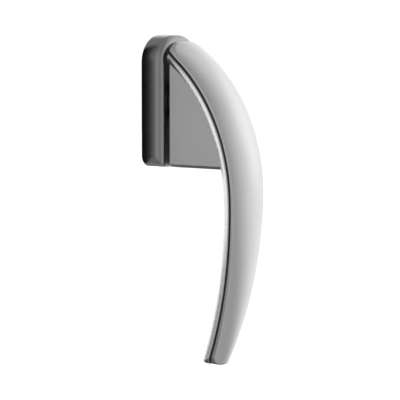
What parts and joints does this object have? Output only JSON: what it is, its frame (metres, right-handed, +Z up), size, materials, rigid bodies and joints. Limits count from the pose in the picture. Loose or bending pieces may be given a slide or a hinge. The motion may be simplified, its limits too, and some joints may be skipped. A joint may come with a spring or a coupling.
{
  "type": "window handle",
  "caption": "Window handle with a bowed, tapering lever on a deep upright rosette; the lever turns a square spindle that works the window's gear.",
  "frame": {"origin": "on the spindle's axis, at the plane of the sash that the rosette sits on", "axes": "+Y points into the sash along the spindle, +Z is up, and the user stands on the -Y side; the lever hangs down at rest"},
  "size_m": [0.03, 0.0704, 0.162],
  "materials": {
    "rosette_satin": "dark satin, anodised",
    "lever_satin": "satin, anodised",
    "grip_satin": "fine satin, anodised",
    "die_cast": "raw casting",
    "plated_steel": "zinc plated",
    "spring_steel": "blued",
    "bearing_plastic": "moulded",
    "seal_black": "matt"
  },
  "bodies": {
    "rosette": {"base_plate": "die_cast", "rosette_cover": "rosette_satin", "bearing_bush": "bearing_plastic", "detent_spring_left": "spring_steel", "detent_spring_right": "spring_steel", "fixing_screws": "plated_steel"},
    "lever": {"lever_body": "lever_satin", "grip_shell": "grip_satin", "joint_seal": "seal_black", "index_cam": "plated_steel", "spindle": "plated_steel", "spindle_pin": "plated_steel", "thrust_washer": "bearing_plastic", "retaining_ring": "spring_steel", "shell_screws": "plated_steel"}
  },
  "joints": [
    {"name": "lever_turn", "type": "hinge", "parent": "rosette", "child": "lever", "pos_m": [0, 0, 0], "axis": [0, 1, 0], "range_deg": [0, 180], "deforming": ["detent_spring_left", "detent_spring_right"]}
  ]
}
